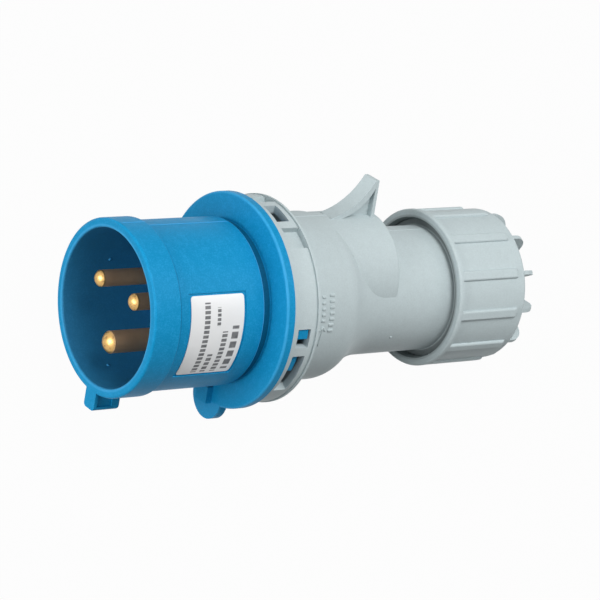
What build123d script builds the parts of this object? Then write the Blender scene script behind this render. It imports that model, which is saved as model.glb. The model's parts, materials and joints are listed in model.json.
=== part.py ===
from build123d import *
import os
from math import asin, atan, atan2, cos, degrees, radians, sin

# Pin-and-sleeve industrial plug, lying on its flange and on two ribs of its gland nut.
# Sizes are in millimetres and degrees. A station is the distance along the plug from its mouth,
# and an angle is counted round the plug from its 12 o'clock, clockwise as seen from the mouth.

# Shroud: the tube round the pins
tube_radius = 30.1
tube_wall = 2.9
tube_length = 47.0
mouth_draft = 0.9
band_height = 1.4
band_length = 10.7
band_step_length = 0.8
mouth_rounding = 0.9
mouth_inner_rounding = 0.7
tube_end_rounding = 1.2
groove_depth = 1.3
flange_station = 50.1
flange_thickness = 3.3
flange_overhang = 1.3
flange_rounding = 0.8
ledge_depth = 1.9
skirt_wall = 2.6
skirt_length = 6.3

# Key and lug of the shroud, both at 6 o'clock
key_width = 6.5
key_reach = 37.8
key_length = 11.0
key_rounding = 1.4
key_end_rounding = 1.2
key_pocket_front = 1.2
key_pocket_length = 6.1
key_pocket_depth = 0.6
key_lip = 1.6
lug_radius = 8.7
lug_reach = 45.4
stop_width = 6.6
stop_reach = 38.6
stop_height = 2.5

# Housing: collar, barrel, shoulder, neck and threaded end
barrel_radius = 30.6
housing_wall = 2.4
collar_wall = 3.6
collar_length = 12.05
collar_web = 3.45
collar_strip = 1.6
collar_lip = 1.05
collar_relief = 0.3
collar_groove_width = 0.8
collar_groove_depth = 0.7
collar_rounding = 0.3
shoulder_station = 83.0
shoulder_length = 22.5
shoulder_share = 0.3
neck_radius = 23.2
thread_station = 138.0
thread_radius = 25.6
thread_chamfer = 1.0
neck_end = 152.0
cage_seat_radius = 22.8
cage_seat_depth = 5.0

# Hood on top of the shoulder, and the retaining fin on the hood
hood_radius = 22.4
hood_front = 78.0
hood_end = 110.6
hood_rounding = 0.9
fin_width = 7.2
fin_front = 88.8
fin_tip_front = 106.0
fin_tip_rear = 107.5
fin_base_rear = 108.0
fin_height = 13.8
fin_sag = 2.3
fin_plate = 1.5
fin_web = 2.4
fin_sink = 0.7

# Windows and blind pockets in the collar: start angle and sweep of each
window_inset = 3.2
window_rim = 0.1
latch_angle = 85.4
latch_sweep = 10.8
slot_angle = 101.4
slot_sweep = 27.0
peep_angle = 7.0
peep_sweep = 15.0
pocket_spans = [(-8.5, 10.5), (27.0, 13.4)]
pocket_depth = 2.6
lug_play = 0.5
lug_sweep = 11.0
lug_height = 2.5
latch_block_sweep = 5.2
latch_block_height = 3.2
latch_block_length = 1.5
latch_front_gap = 0.5
bayonet_count = 2

# Contacts
pin_pitch_radius = 13.0
pin_angles = {"neutral": -60, "line": 60, "earth": 180}
power_pin_radius = 3.0
earth_pin_radius = 4.0
pin_radii = {"neutral": power_pin_radius, "line": power_pin_radius, "earth": earth_pin_radius}
pin_root_margin = 0.4
pin_setback = 2.0
pin_dome = 0.57
barrel_margin = 2.2
terminal_length = 20.0
neck_margin = 1.0
wire_hole_radius = 3.4
wire_hole_depth = 13.5
terminal_screw_radius = 2.0
terminal_screw_inset = 6.5
terminal_head_radius = 3.2
terminal_head_height = 2.0
terminal_head_lift = 0.8
screw_slot_width = 0.8
screw_slot_depth = 0.9
pressure_plate_thickness = 0.6
pressure_plate_width = 5.0
pressure_plate_length = 9.0
pressure_plate_offset = 1.4

# Contact carrier, its retainer and the retainer's screws
carrier_face = 47.5
carrier_flange = 4.5
carrier_boss_height = 1.2
carrier_boss_margin = 2.0
retainer_thickness = 1.9
retainer_radius = 17.5
retainer_screw_angles = {"top": 0, "right": 120, "left": 240}
retainer_screw_radius = 1.45
retainer_screw_length = 6.5
retainer_head_radius = 2.8
retainer_head_height = 1.8
retainer_head_chamfer = 0.5
retainer_screw_tip_gap = 0.5

# Cable gland: clamp cage, grommet, slip ring and gland nut
cage_bore_radius = 17.2
cage_collar = 1.0
cage_tip_station = 163.9
cage_tip_radius = 19.0
cage_tip_rounding = 0.5
cage_slots = 10
cage_slot_width = 1.6
grommet_bore_radius = 9.5
grommet_length = 14.0
grommet_groove = 0.9
grommet_grooves = 3
slip_ring_thickness = 1.2
slip_ring_bore_radius = 14.6
nut_front = 135.2
nut_mouth_radius = 26.4
nut_mouth_depth = 1.6
nut_rim_radius = 29.3
nut_rim_length = 1.8
nut_rim_rounding = 0.8
nut_radius = 28.2
nut_rear = 167.4
nut_rear_rounding = 1.4
nut_dome_station = 169.4
nut_dome_radius = 16.5
nut_hole_radius = 14.0
rib_count = 12
rib_phase = 1.0
rib_reach = 29.2
rib_width = 3.8
rib_end = 164.2
rib_rounding = 0.8
rib_end_rounding = 1.8
ear_thickness = 1.5
ear_reach = 27.8
ear_end = 174.5
ear_rounding = 6.0
ear_root_radius = 17.5
ear_inner_rounding = 2.5

# Rating label
label_front = 16.0
label_length = 22.1
label_angle = 62.5
label_sweep = 59.5
label_margin = 0.8
label_recess = 0.45
label_thickness = 0.25
label_corner = 1.2

# Fits, and the length by which a cut runs past the surface that it starts from
seat_gap = 0.05
thread_gap = 0.08
cone_gap = 0.15
skirt_gap = 0.4
cut_margin = 1.0

# Radii and stations that follow from the sizes above
deep_bore_radius = tube_radius - tube_wall
mouth_bore_radius = deep_bore_radius + mouth_draft
band_radius = tube_radius + band_height
groove_radius = tube_radius - groove_depth
skirt_bore_radius = barrel_radius + skirt_gap
skirt_radius = skirt_bore_radius + skirt_wall
collar_bore_radius = skirt_radius + skirt_gap
collar_radius = collar_bore_radius + collar_wall
flange_radius = collar_radius + flange_overhang
flange_rear = flange_station + flange_thickness
skirt_end = flange_rear + skirt_length
ledge_station = flange_station + ledge_depth
carrier_rear = ledge_station + carrier_flange
collar_rear = flange_rear + collar_length
web_front = collar_rear - collar_web
window_front = flange_rear + window_inset
window_length = web_front - window_front - window_rim
retainer_rear = carrier_rear + retainer_thickness
terminal_front = carrier_rear - retainer_thickness
terminal_end = carrier_rear + terminal_length
terminal_screw_station = terminal_end - terminal_screw_inset
hood_rise = barrel_radius - hood_radius
fin_top = barrel_radius + fin_height
neck_bore_radius = neck_radius - housing_wall
cage_front = neck_end - cage_seat_depth
nut_floor = cage_tip_station + slip_ring_thickness
nut_bore_radius = thread_radius + thread_gap
rib_root = (nut_bore_radius + nut_radius) / 2
rib_corner = rib_end - rib_end_rounding
ear_front = nut_rear - nut_rear_rounding
ear_corner = ear_end - ear_rounding

# Shoulder: two tangent arcs that take the barrel down to the neck
shoulder_drop = barrel_radius - neck_radius
shoulder_turn = 2 * atan(shoulder_drop / shoulder_length)
shoulder_radii = shoulder_length / sin(shoulder_turn)

# Rest: the flange's rear edge and the rear ends of two ribs stand on the floor
half_step = 180 / rib_count
rib_flat = rib_width / 2 - rib_rounding
rib_arc_centre = (rib_reach - rib_rounding) * cos(radians(half_step)) + rib_flat * sin(radians(half_step))
rib_rest_radius = rib_arc_centre + rib_rounding
lean = degrees(atan2(flange_radius - rib_rest_radius, rib_corner - flange_rear))
upright_angle = rib_phase + 3 * half_step
axis_height = flange_rear * sin(radians(lean)) + flange_radius * cos(radians(lean))
mouth_edge = band_radius - mouth_rounding
front_overhang = mouth_edge * sin(radians(lean)) + mouth_rounding * (1 - cos(radians(lean)))
upper_corner = (ear_reach - ear_rounding) * cos(radians(half_step))
rear_reach = ear_corner * cos(radians(lean)) + upper_corner * sin(radians(lean)) + ear_rounding

# Frame of the plug: origin at the mouth's centre, x to its 12 o'clock, z along it to the rear
to_rear = Vector(cos(radians(lean)), 0, -sin(radians(lean)))
upright = Vector(sin(radians(lean)), 0, cos(radians(lean)))
mouth_centre = Vector((front_overhang - rear_reach) / 2, 0, axis_height)
twelve = upright.rotate(Axis((0, 0, 0), to_rear), -upright_angle)
plug = Plane(origin=mouth_centre, x_dir=twelve, z_dir=to_rear)
plug_axis = Axis(plug.origin, plug.z_dir)
twelve_axis = Axis(plug.origin, plug.x_dir)


def radial(angle):
    """Direction away from the plug's axis at an angle round it."""
    return plug.x_dir.rotate(Axis((0, 0, 0), plug.z_dir), angle)


def cross(station):
    """Plane square to the axis at a station, with x towards 12 o'clock and z to the rear."""
    return plug.offset(station)


def meridian(angle):
    """Plane through the axis at an angle: x is the station, y is the distance from the axis."""
    return Plane(origin=plug.origin, x_dir=plug.z_dir, z_dir=plug.z_dir.cross(radial(angle)))


def outward(station, distance, angle):
    """Plane facing away from the axis, at a station and a distance from the axis."""
    centre = plug.origin + plug.z_dir * station + radial(angle) * distance
    return Plane(origin=centre, x_dir=plug.z_dir, z_dir=radial(angle))


def parallel_axis(angle, distance):
    """Axis that runs beside the plug's own axis."""
    return Axis(plug.origin + radial(angle) * distance, plug.z_dir)


def turned(outline, mode=Mode.ADD):
    """Turn an outline of (station, radius, corner rounding) about the plug's axis."""
    turned_beside(outline, 0, 0, mode)


def turned_beside(outline, angle, distance, mode=Mode.ADD):
    """Turn an outline of (station, radius, corner rounding) about an axis beside the plug's axis."""
    with BuildSketch(meridian(angle)) as section:
        with BuildLine():
            corners = [(station, distance + radius) for station, radius, rounding in outline]
            FilletPolyline(*corners, radius=[rounding for station, radius, rounding in outline], close=True)
        make_face()
    revolve(section.sketch, axis=parallel_axis(angle, distance), mode=mode)


def sector_block(station, length, inner, outer, start, sweep, mode=Mode.ADD):
    """Block with the section of a ring's sector, from a station over a length."""
    with BuildSketch(cross(station)) as section:
        with BuildLine():
            near = CenterArc((0, 0), inner, start, sweep)
            far = CenterArc((0, 0), outer, start, sweep)
            Line(near @ 0, far @ 0)
            Line(near @ 1, far @ 1)
        make_face()
    extrude(section.sketch, amount=length, mode=mode)


def shouldered(front, rear, inset, mode=Mode.ADD):
    """Turn barrel, shoulder and neck, drawn inside their outer surface by an inset."""
    with BuildSketch(meridian(0)) as section:
        with BuildLine():
            top = Line((front, barrel_radius - inset), (shoulder_station, barrel_radius - inset))
            convex = JernArc(top @ 1, (1, 0), shoulder_radii * shoulder_share, -degrees(shoulder_turn))
            concave = JernArc(convex @ 1, convex % 1, shoulder_radii * (1 - shoulder_share),
                              degrees(shoulder_turn))
            Polyline(concave @ 1, (rear, neck_radius - inset), (rear, 0), (front, 0), top @ 0)
        make_face()
    revolve(section.sketch, axis=plug_axis, mode=mode)


def export(piece, name):
    """Label a finished piece and write its STEP file."""
    piece.part.label = name
    export_step(piece.part, f"parts/{name}.step")


os.makedirs("parts", exist_ok=True)

# Front shroud: tube, flange and bayonet skirt in one moulding
with BuildPart() as front_shroud:
    with BuildSketch(cross(0)):
        with Locations((-(key_reach + tube_radius - key_rounding) / 2, 0)):
            Rectangle(key_reach - tube_radius + key_rounding, key_width)
    extrude(amount=key_length)
    fillet(front_shroud.edges().filter_by(plug_axis).sort_by(twelve_axis)[:2], key_rounding)
    fillet(front_shroud.faces().sort_by(plug_axis)[-1].edges().sort_by(twelve_axis)[:3], key_end_rounding)
    key_pocket_height = key_reach - key_lip - tube_radius
    with BuildSketch(cross(key_pocket_front)):
        for side in (-1, 1):
            with Locations((-tube_radius - key_pocket_height / 2, side * key_width / 2)):
                Rectangle(key_pocket_height, 2 * key_pocket_depth)
    extrude(amount=key_pocket_length, mode=Mode.SUBTRACT)
    with BuildSketch(cross(flange_station)):
        with Locations((lug_radius - lug_reach, 0)):
            Circle(lug_radius)
        Circle(skirt_radius, mode=Mode.SUBTRACT)
    extrude(amount=flange_thickness)
    with BuildSketch(cross(flange_station - stop_height)):
        with Locations((-(stop_reach + deep_bore_radius) / 2, 0)):
            Rectangle(stop_reach - deep_bore_radius, stop_width)
        Circle((deep_bore_radius + groove_radius) / 2, mode=Mode.SUBTRACT)
    extrude(amount=stop_height)
    turned([
        (0, mouth_bore_radius, mouth_inner_rounding),
        (0, band_radius, mouth_rounding),
        (band_length, band_radius, band_step_length / 2),
        (band_length + band_step_length, tube_radius, band_step_length / 2),
        (tube_length, tube_radius, tube_end_rounding),
        (tube_length, groove_radius, 0),
        (flange_station, groove_radius, 0),
        (flange_station, flange_radius, flange_rounding),
        (flange_rear, flange_radius, 0),
        (flange_rear, skirt_radius, 0),
        (skirt_end, skirt_radius, 0),
        (skirt_end, skirt_bore_radius, 0),
        (ledge_station, skirt_bore_radius, 0),
        (ledge_station, deep_bore_radius, 0),
    ])
    # Bayonet lugs that bear on the front edge of the long windows
    for turn in range(bayonet_count):
        half_turn = turn * 360 / bayonet_count
        lug_front = window_front + seat_gap
        latch_front = window_front + latch_front_gap
        sector_block(lug_front, skirt_end - lug_front, skirt_radius - skirt_gap, skirt_radius + lug_height,
                     slot_angle + lug_play + half_turn, lug_sweep)
        sector_block(latch_front, skirt_end + latch_block_length - latch_front, skirt_bore_radius,
                     skirt_radius + latch_block_height, latch_angle + lug_play + half_turn, latch_block_sweep)
    # Shallow recess for the rating label
    margin_sweep = degrees(label_margin / tube_radius)
    sector_block(label_front - label_margin, label_length + 2 * label_margin,
                 tube_radius - label_recess, tube_radius + cut_margin,
                 label_angle - margin_sweep, label_sweep + 2 * margin_sweep, Mode.SUBTRACT)
export(front_shroud, "front_shroud")

# Housing: bayonet collar, barrel, hood with its fin, neck and threaded end in one moulding
with BuildPart() as housing:
    # Fin: a curved front plate and an upright rear plate, joined by a web
    with BuildSketch(meridian(0)):
        with BuildLine():
            slope = SagittaArc((fin_front, barrel_radius), (fin_tip_front, fin_top), -fin_sag)
            Polyline(slope @ 1, (fin_tip_rear, fin_top), (fin_base_rear, barrel_radius),
                     (fin_base_rear, barrel_radius - housing_wall), (fin_front, barrel_radius - housing_wall),
                     slope @ 0)
        make_face()
    extrude(amount=fin_width / 2, both=True)
    for side in (-1, 1):
        with BuildSketch(meridian(0).offset(side * fin_web / 2)):
            with BuildLine():
                under = SagittaArc((fin_front + 2 * fin_plate, barrel_radius - fin_sink),
                                   (fin_base_rear - fin_plate, fin_top - 2 * fin_plate), -fin_sag)
                Polyline(under @ 1, (fin_base_rear - fin_plate, barrel_radius - fin_sink), under @ 0)
            make_face()
        extrude(amount=side * fin_width, mode=Mode.SUBTRACT)
    # Barrel, shoulder and neck, with the hood and the threaded end
    shouldered(carrier_rear, neck_end, 0)
    turned_beside([
        (hood_front, 0, 0),
        (hood_front, hood_radius, 0),
        (hood_end, hood_radius, hood_rounding),
        (hood_end, 0, 0),
    ], 0, hood_rise)
    turned([
        (thread_station - thread_chamfer, neck_bore_radius, 0),
        (thread_station - thread_chamfer, neck_radius, 0),
        (thread_station, thread_radius, 0),
        (neck_end - thread_chamfer, thread_radius, 0),
        (neck_end, thread_radius - thread_chamfer, 0),
        (neck_end, neck_bore_radius, 0),
    ])
    # Collar round the bayonet skirt, with a relieved band and a groove before its rear lip
    band_surface = collar_radius - collar_relief
    lip_front = collar_rear - collar_lip
    turned([
        (flange_rear, collar_bore_radius, 0),
        (flange_rear, collar_radius, 0),
        (flange_rear + collar_strip, collar_radius, 0),
        (flange_rear + collar_strip, band_surface, 0),
        (lip_front - collar_groove_width, band_surface, 0),
        (lip_front - collar_groove_width, collar_radius - collar_groove_depth, 0),
        (lip_front, collar_radius - collar_groove_depth, 0),
        (lip_front, collar_radius, 0),
        (collar_rear, collar_radius, collar_rounding),
        (collar_rear, barrel_radius - housing_wall / 2, 0),
        (web_front, barrel_radius - housing_wall / 2, 0),
        (web_front, collar_bore_radius, 0),
    ])
    # Hollow inside
    shouldered(carrier_rear, neck_end, housing_wall, Mode.SUBTRACT)
    turned_beside([
        (hood_front, 0, 0),
        (hood_front, hood_radius - housing_wall, 0),
        (hood_end - housing_wall, hood_radius - housing_wall, 0),
        (hood_end - housing_wall, 0, 0),
    ], 0, hood_rise, Mode.SUBTRACT)
    turned([
        (cage_front, 0, 0),
        (cage_front, cage_seat_radius, 0),
        (neck_end, cage_seat_radius, 0),
        (neck_end, 0, 0),
    ], Mode.SUBTRACT)
    # Windows: a peep hole near 12 o'clock, and a latch window and a long slot for each bayonet lug
    spans = [(peep_angle, peep_sweep)]
    for turn in range(bayonet_count):
        spans.append((latch_angle + turn * 360 / bayonet_count, latch_sweep))
        spans.append((slot_angle + turn * 360 / bayonet_count, slot_sweep))
    for start, sweep in spans:
        sector_block(window_front, window_length, skirt_radius + skirt_gap / 2, collar_radius + cut_margin,
                     start, sweep, Mode.SUBTRACT)
    for start, sweep in pocket_spans:
        sector_block(window_front + window_rim, lip_front - window_front - window_rim,
                     collar_radius - pocket_depth, collar_radius + cut_margin, start, sweep, Mode.SUBTRACT)
export(housing, "housing")

# Contact carrier: the insulating disc that holds the three pins
with BuildPart() as contact_carrier:
    turned([
        (carrier_face, 0, 0),
        (carrier_face, deep_bore_radius - seat_gap, 0),
        (ledge_station, deep_bore_radius - seat_gap, 0),
        (ledge_station, skirt_bore_radius - seat_gap, 0),
        (carrier_rear, skirt_bore_radius - seat_gap, 0),
        (carrier_rear, 0, 0),
    ])
    for name, angle in pin_angles.items():
        pin_radius = pin_radii[name]
        turned_beside([
            (carrier_face - carrier_boss_height, 0, 0),
            (carrier_face - carrier_boss_height, pin_radius + carrier_boss_margin, 0),
            (carrier_face + carrier_boss_height, pin_radius + carrier_boss_margin, 0),
            (carrier_face + carrier_boss_height, 0, 0),
        ], angle, pin_pitch_radius)
    for name, angle in pin_angles.items():
        pin_radius = pin_radii[name]
        turned_beside([
            (carrier_face - 2 * carrier_boss_height, 0, 0),
            (carrier_face - 2 * carrier_boss_height, pin_radius + pin_root_margin + seat_gap, 0),
            (terminal_front, pin_radius + pin_root_margin + seat_gap, 0),
            (terminal_front, pin_radius + barrel_margin + seat_gap, 0),
            (carrier_rear, pin_radius + barrel_margin + seat_gap, 0),
            (carrier_rear, 0, 0),
        ], angle, pin_pitch_radius, Mode.SUBTRACT)
    screw_hole_end = retainer_rear - retainer_screw_length - retainer_screw_tip_gap
    for angle in retainer_screw_angles.values():
        turned_beside([
            (screw_hole_end, 0, 0),
            (screw_hole_end, retainer_screw_radius + seat_gap, 0),
            (carrier_rear, retainer_screw_radius + seat_gap, 0),
            (carrier_rear, 0, 0),
        ], angle, pin_pitch_radius, Mode.SUBTRACT)
export(contact_carrier, "contact_carrier")

# Pins, each with a terminal barrel, a clamping screw and a pressure plate on the wire
for name, angle in pin_angles.items():
    pin_radius = pin_radii[name]
    terminal_radius = pin_radius + barrel_margin
    dome = pin_dome * pin_radius
    dome_sphere = (pin_radius ** 2 + dome ** 2) / (2 * dome)
    root_radius = pin_radius + pin_root_margin
    root_front = carrier_face - carrier_boss_height
    with BuildPart() as pin:
        with BuildSketch(meridian(angle)):
            with BuildLine():
                tip = JernArc((pin_setback, pin_pitch_radius), (0, 1), dome_sphere,
                              -degrees(asin(pin_radius / dome_sphere)))
                Polyline(
                    tip @ 1,
                    (root_front, pin_pitch_radius + pin_radius),
                    (root_front, pin_pitch_radius + root_radius),
                    (terminal_front + seat_gap, pin_pitch_radius + root_radius),
                    (terminal_front + seat_gap, pin_pitch_radius + terminal_radius),
                    (carrier_rear, pin_pitch_radius + terminal_radius),
                    (carrier_rear, pin_pitch_radius + terminal_radius - neck_margin),
                    (retainer_rear, pin_pitch_radius + terminal_radius - neck_margin),
                    (retainer_rear, pin_pitch_radius + terminal_radius),
                    (terminal_end, pin_pitch_radius + terminal_radius),
                    (terminal_end, pin_pitch_radius),
                    tip @ 0,
                )
            make_face()
        revolve(axis=parallel_axis(angle, pin_pitch_radius))
        turned_beside([
            (terminal_end - wire_hole_depth, 0, 0),
            (terminal_end - wire_hole_depth, wire_hole_radius, 0),
            (terminal_end, wire_hole_radius, 0),
            (terminal_end, 0, 0),
        ], angle, pin_pitch_radius, Mode.SUBTRACT)
        with BuildSketch(outward(terminal_screw_station, pin_pitch_radius, angle)):
            Circle(terminal_screw_radius + seat_gap)
        extrude(amount=2 * terminal_radius, mode=Mode.SUBTRACT)
    export(pin, f"{name}_pin")

    plate_bottom = pin_pitch_radius + pressure_plate_offset
    plate_top = plate_bottom + pressure_plate_thickness
    with BuildPart() as pressure_plate:
        with BuildSketch(outward(terminal_screw_station, plate_bottom, angle)):
            RectangleRounded(pressure_plate_length, pressure_plate_width, pressure_plate_thickness)
        extrude(amount=pressure_plate_thickness)
    export(pressure_plate, f"{name}_pressure_plate")

    head_seat = pin_pitch_radius + terminal_radius + terminal_head_lift
    with BuildPart() as terminal_screw:
        with BuildSketch(outward(terminal_screw_station, plate_top, angle)):
            Circle(terminal_screw_radius)
        extrude(amount=head_seat - plate_top)
        with BuildSketch(outward(terminal_screw_station, head_seat, angle)):
            Circle(terminal_head_radius)
        extrude(amount=terminal_head_height)
        with BuildSketch(outward(terminal_screw_station, head_seat + terminal_head_height, angle)):
            Rectangle(screw_slot_width, 3 * terminal_head_radius)
        extrude(amount=-screw_slot_depth, mode=Mode.SUBTRACT)
    export(terminal_screw, f"{name}_terminal_screw")

# Pin retainer: a plate with open slots that drop into the necks of the terminal barrels
with BuildPart() as pin_retainer:
    with BuildSketch(cross(carrier_rear)):
        Circle(retainer_radius)
        for name, angle in pin_angles.items():
            slot_radius = pin_radii[name] + barrel_margin - neck_margin + seat_gap
            with PolarLocations(pin_pitch_radius, 1, start_angle=angle):
                Circle(slot_radius, mode=Mode.SUBTRACT)
            with PolarLocations(pin_pitch_radius + retainer_radius / 2, 1, start_angle=angle):
                Rectangle(retainer_radius, 2 * slot_radius, mode=Mode.SUBTRACT)
        for angle in retainer_screw_angles.values():
            with PolarLocations(pin_pitch_radius, 1, start_angle=angle):
                Circle(retainer_screw_radius + seat_gap, mode=Mode.SUBTRACT)
    extrude(amount=retainer_thickness)
export(pin_retainer, "pin_retainer")

# Three screws that hold the retainer to the carrier
for name, angle in retainer_screw_angles.items():
    with BuildPart() as retainer_screw:
        turned_beside([
            (retainer_rear - retainer_screw_length, 0, 0),
            (retainer_rear - retainer_screw_length + retainer_screw_radius, retainer_screw_radius, 0),
            (retainer_rear, retainer_screw_radius, 0),
            (retainer_rear, retainer_head_radius, 0),
            (retainer_rear + retainer_head_height - retainer_head_chamfer, retainer_head_radius, 0),
            (retainer_rear + retainer_head_height, retainer_head_radius - retainer_head_chamfer, 0),
            (retainer_rear + retainer_head_height, 0, 0),
        ], angle, pin_pitch_radius)
        with BuildSketch(cross(retainer_rear + retainer_head_height)):
            with PolarLocations(pin_pitch_radius, 1, start_angle=angle):
                Rectangle(screw_slot_width, 3 * retainer_head_radius)
                Rectangle(3 * retainer_head_radius, screw_slot_width)
        extrude(amount=-screw_slot_depth, mode=Mode.SUBTRACT)
    export(retainer_screw, f"retainer_screw_{name}")

# Clamp cage: a ring of tapered fingers that the gland nut closes on the grommet
with BuildPart() as clamp_cage:
    turned([
        (cage_front, cage_bore_radius, 0),
        (cage_front, cage_seat_radius - seat_gap, 0),
        (neck_end + cage_collar, cage_seat_radius - seat_gap, 0),
        (cage_tip_station, cage_tip_radius, cage_tip_rounding),
        (cage_tip_station, cage_bore_radius, 0),
    ])
    with BuildSketch(cross(neck_end + 2 * cage_collar)):
        with PolarLocations(cage_seat_radius, cage_slots):
            Rectangle(2 * cage_seat_radius - cage_bore_radius, cage_slot_width)
    extrude(amount=cage_tip_station - neck_end, mode=Mode.SUBTRACT)
export(clamp_cage, "clamp_cage")

# Grommet: the rubber sleeve that seals on the cable
with BuildPart() as cable_grommet:
    turned([
        (cage_front, grommet_bore_radius, 0),
        (cage_front, cage_bore_radius - seat_gap, 0),
        (cage_front + grommet_length, cage_bore_radius - seat_gap, 0),
        (cage_front + grommet_length, grommet_bore_radius, 0),
    ])
    for groove in range(grommet_grooves):
        groove_station = cage_front + (groove + 1) * grommet_length / (grommet_grooves + 1)
        turned([
            (groove_station - grommet_groove, grommet_bore_radius - cut_margin, 0),
            (groove_station - grommet_groove, grommet_bore_radius + grommet_groove, 0),
            (groove_station + grommet_groove, grommet_bore_radius + grommet_groove, 0),
            (groove_station + grommet_groove, grommet_bore_radius - cut_margin, 0),
        ], Mode.SUBTRACT)
export(cable_grommet, "cable_grommet")

# Slip ring: it lets the nut turn without twisting the cage
with BuildPart() as slip_ring:
    turned([
        (cage_tip_station, slip_ring_bore_radius, 0),
        (cage_tip_station, cage_tip_radius - seat_gap, 0),
        (nut_floor, cage_tip_radius - seat_gap, 0),
        (nut_floor, slip_ring_bore_radius, 0),
    ])
export(slip_ring, "slip_ring")

# Rib of the gland nut with rounded edges and a rounded rear end, made once and repeated on the nut
with BuildPart() as rib:
    with BuildSketch(meridian(rib_phase)):
        with BuildLine():
            FilletPolyline(
                (nut_front + nut_rim_length / 2, rib_root),
                (nut_front + nut_rim_length / 2, rib_reach),
                (rib_end, rib_reach),
                (rib_end, rib_root),
                radius=[0, 0, rib_end_rounding, 0], close=True,
            )
        make_face()
    extrude(amount=rib_width / 2, both=True)
    across = Axis(plug.origin, meridian(rib_phase).z_dir)
    away = Axis(plug.origin, radial(rib_phase))
    sides = rib.faces().filter_by(across).sort_by(across)
    fillet([edge for side in sides for edge in side.edges().sort_by(away)[-2:]], rib_rounding)

# Gland nut: ribbed cap with a tightening cone inside and an ear behind each rib
with BuildPart() as gland_nut:
    cone_front = neck_end + cage_collar + 2 * cone_gap
    turned([
        (nut_front, thread_radius, 0),
        (nut_front, nut_rim_radius, nut_rim_rounding),
        (nut_front + nut_rim_length, nut_rim_radius, 0),
        (nut_front + nut_rim_length, nut_radius, 0),
        (nut_rear, nut_radius, nut_rear_rounding),
        (nut_dome_station, nut_dome_radius, 0),
        (nut_dome_station, nut_hole_radius, 0),
        (nut_floor, nut_hole_radius, 0),
        (nut_floor, cage_tip_radius + cone_gap, 0),
        (cage_tip_station - cone_gap, cage_tip_radius + cone_gap, 0),
        (cone_front, cage_seat_radius + cone_gap, 0),
        (cone_front, thread_radius, 0),
    ])
    for turn in range(rib_count):
        add(rib.part.rotate(plug_axis, turn * 360 / rib_count))
        with BuildSketch(meridian(rib_phase + turn * 360 / rib_count)):
            with BuildLine():
                FilletPolyline(
                    (ear_front, ear_root_radius),
                    (ear_front, ear_reach),
                    (ear_end, ear_reach),
                    (ear_end, ear_root_radius),
                    radius=[0, 0, ear_rounding, ear_inner_rounding], close=True,
                )
            make_face()
        extrude(amount=ear_thickness / 2, both=True)
    # Mouth and thread bore, cut after the ribs so that both stay round
    turned([
        (nut_front, 0, 0),
        (nut_front, nut_mouth_radius, 0),
        (nut_front + nut_mouth_depth, nut_bore_radius, 0),
        (cone_front, nut_bore_radius, 0),
        (cone_front, 0, 0),
    ], Mode.SUBTRACT)
export(gland_nut, "gland_nut")

# Rating label in its recess
with BuildPart() as rating_label:
    label_floor = tube_radius - label_recess
    sector_block(label_front, label_length, label_floor, label_floor + label_thickness,
                 label_angle, label_sweep)
    fillet(rating_label.edges().filter_by(lambda edge: edge.length < 2 * label_thickness), label_corner)
export(rating_label, "rating_label")
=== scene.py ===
import json
from math import cos, pi, radians, sin

import bmesh
import bpy
from bpy.props import FloatProperty, FloatVectorProperty, IntProperty, PointerProperty
from bpy.types import Operator, Panel, PropertyGroup
from mathutils import Matrix, Vector
from mathutils.bvhtree import BVHTree


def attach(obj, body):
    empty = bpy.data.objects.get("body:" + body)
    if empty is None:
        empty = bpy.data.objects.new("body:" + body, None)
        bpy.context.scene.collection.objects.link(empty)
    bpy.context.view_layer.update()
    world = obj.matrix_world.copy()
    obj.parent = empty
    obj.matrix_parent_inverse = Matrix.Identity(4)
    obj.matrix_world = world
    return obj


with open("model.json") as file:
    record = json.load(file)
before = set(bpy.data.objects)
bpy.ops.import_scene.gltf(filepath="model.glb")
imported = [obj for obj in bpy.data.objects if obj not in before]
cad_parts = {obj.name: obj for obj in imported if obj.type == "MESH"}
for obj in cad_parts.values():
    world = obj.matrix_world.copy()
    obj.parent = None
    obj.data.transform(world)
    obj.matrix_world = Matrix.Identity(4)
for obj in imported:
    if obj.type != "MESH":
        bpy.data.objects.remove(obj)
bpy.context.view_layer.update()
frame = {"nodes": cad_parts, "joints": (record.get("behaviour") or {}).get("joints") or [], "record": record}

bl_info = {
    "name": "Industrial plug finishes",
    "version": (1, 0, 0),
    "blender": (4, 5, 0),
    "location": "View3D > Sidebar > Plug",
    "description": "Finishes, moulded marks, label and studio for a pin-and-sleeve plug",
    "category": "Object",
}

# Frame of the plug: a station is the distance along its axis from the mouth, and an angle is
# counted round the axis from 12 o'clock, clockwise as seen from the mouth.
NUT_PIVOT_STATION = 0.155
NUT_TURN = next(joint for joint in frame["joints"] if joint["name"] == "nut_turn")
EARTH = next(mount for mount in frame["record"]["mounts"] if mount["name"] == "earth_contact")
TO_REAR = Vector(NUT_TURN["axis"]).normalized()
MOUTH = Vector(NUT_TURN["pos_m"]) - TO_REAR * NUT_PIVOT_STATION
TO_EARTH = Vector(EARTH["pos_m"]) - MOUTH
TWELVE_OCLOCK = -(TO_EARTH - TO_REAR * TO_EARTH.dot(TO_REAR)).normalized()
THREE_OCLOCK = TO_REAR.cross(TWELVE_OCLOCK)

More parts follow.
